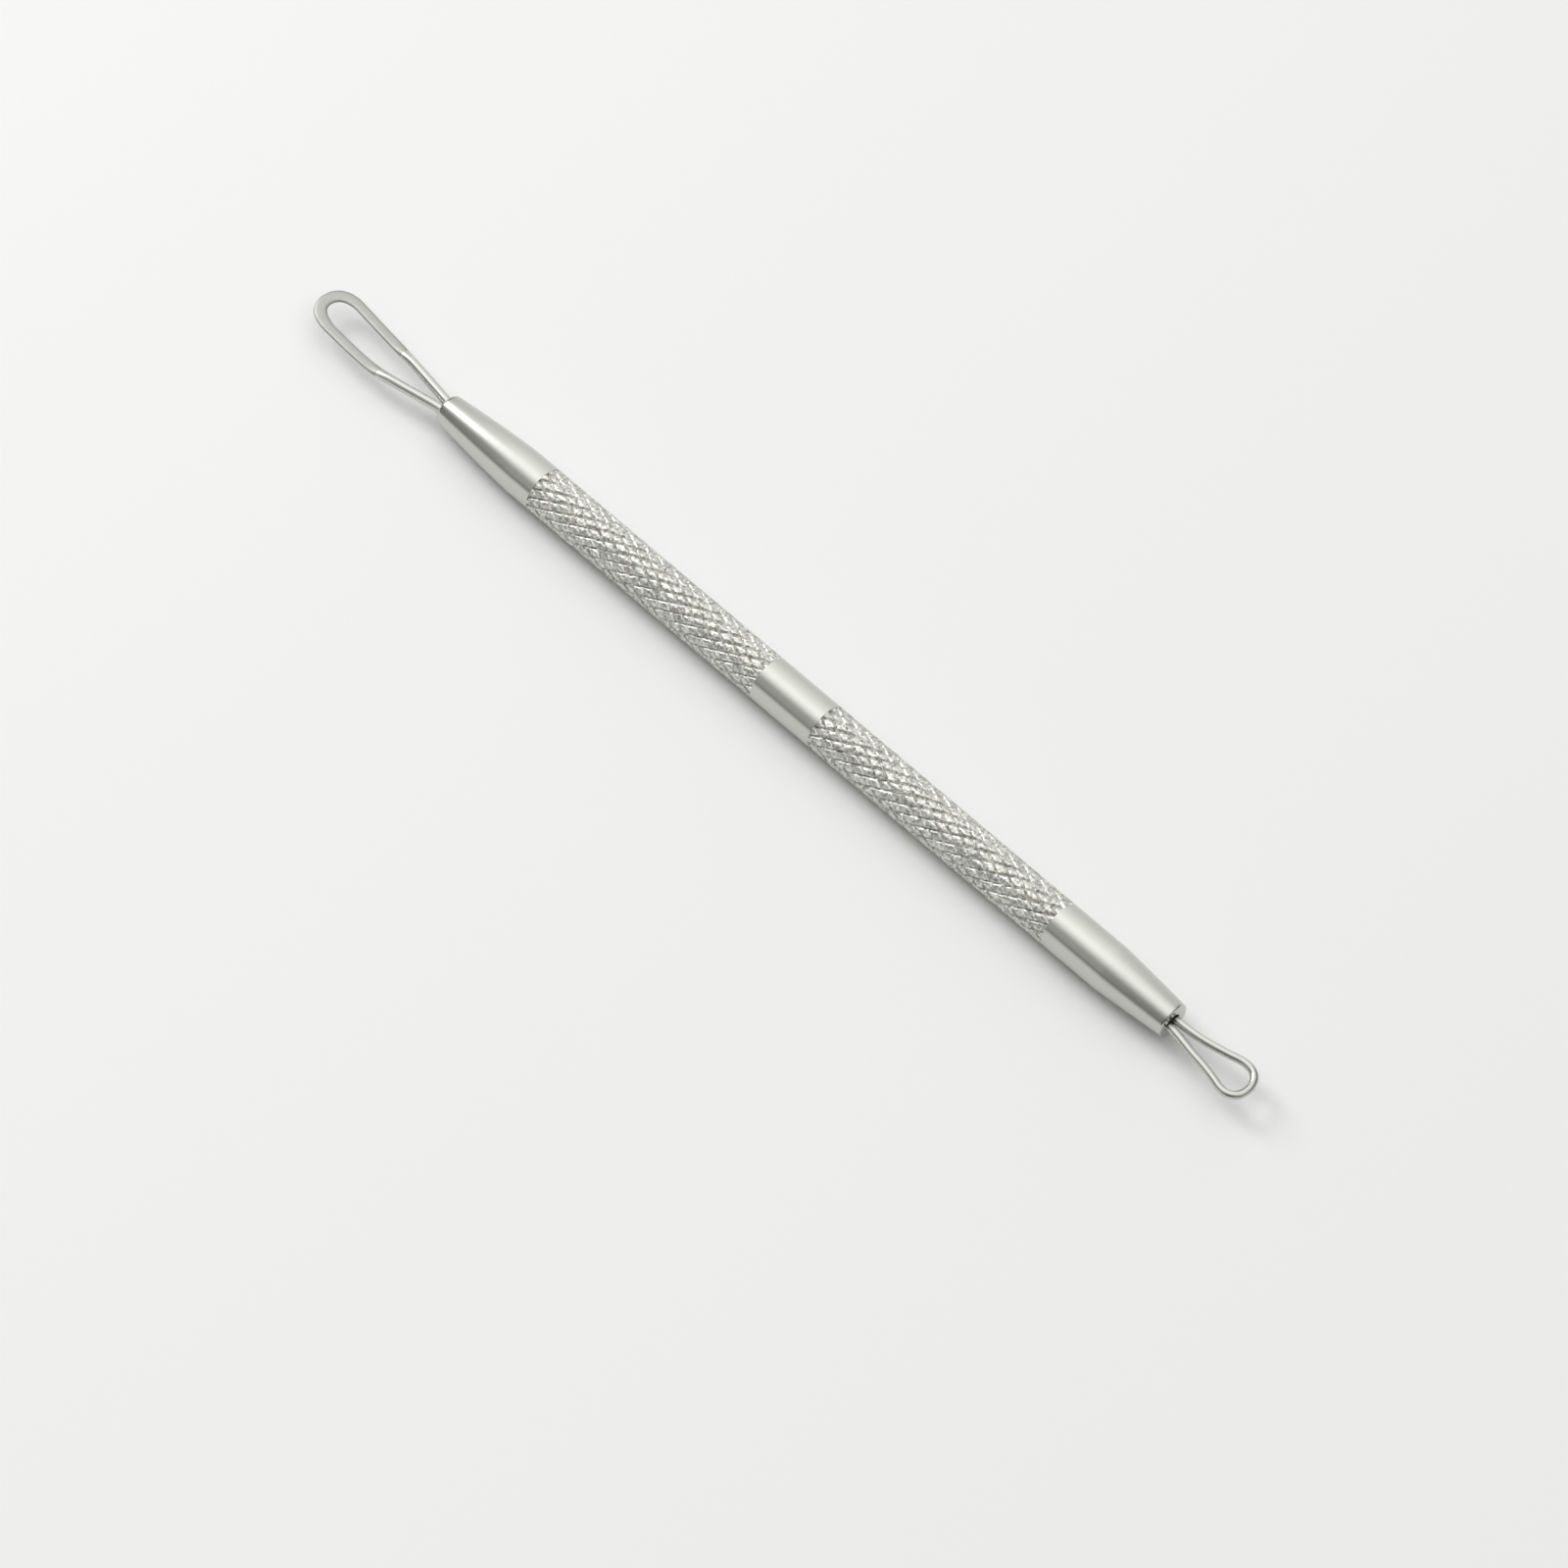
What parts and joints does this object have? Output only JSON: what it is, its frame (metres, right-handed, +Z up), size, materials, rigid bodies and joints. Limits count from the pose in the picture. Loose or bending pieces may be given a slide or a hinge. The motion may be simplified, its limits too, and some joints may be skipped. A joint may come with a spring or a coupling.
{
  "type": "comedone extractor",
  "caption": "Slim double-ended comedone extractor: knurled steel handle with a long coined loop at one end and a short round-wire loop at the other.",
  "frame": {"origin": "on the surface that the tool lies on, under the middle of its overall length", "axes": "X along the handle with the small loop at +X and the large loop at -X, Y across in the plane of both loops, Z up"},
  "size_m": [0.1232, 0.0053, 0.0048],
  "materials": {
    "handle_steel": "satin turned steel with flattened diamond knurling",
    "coined_wire": "matte where it is coined flat, bright where it is round",
    "round_wire": "polished wire"
  },
  "bodies": {
    "root": {"handle": "handle_steel", "large_loop": "coined_wire", "small_loop": "round_wire"}
  },
  "joints": []
}
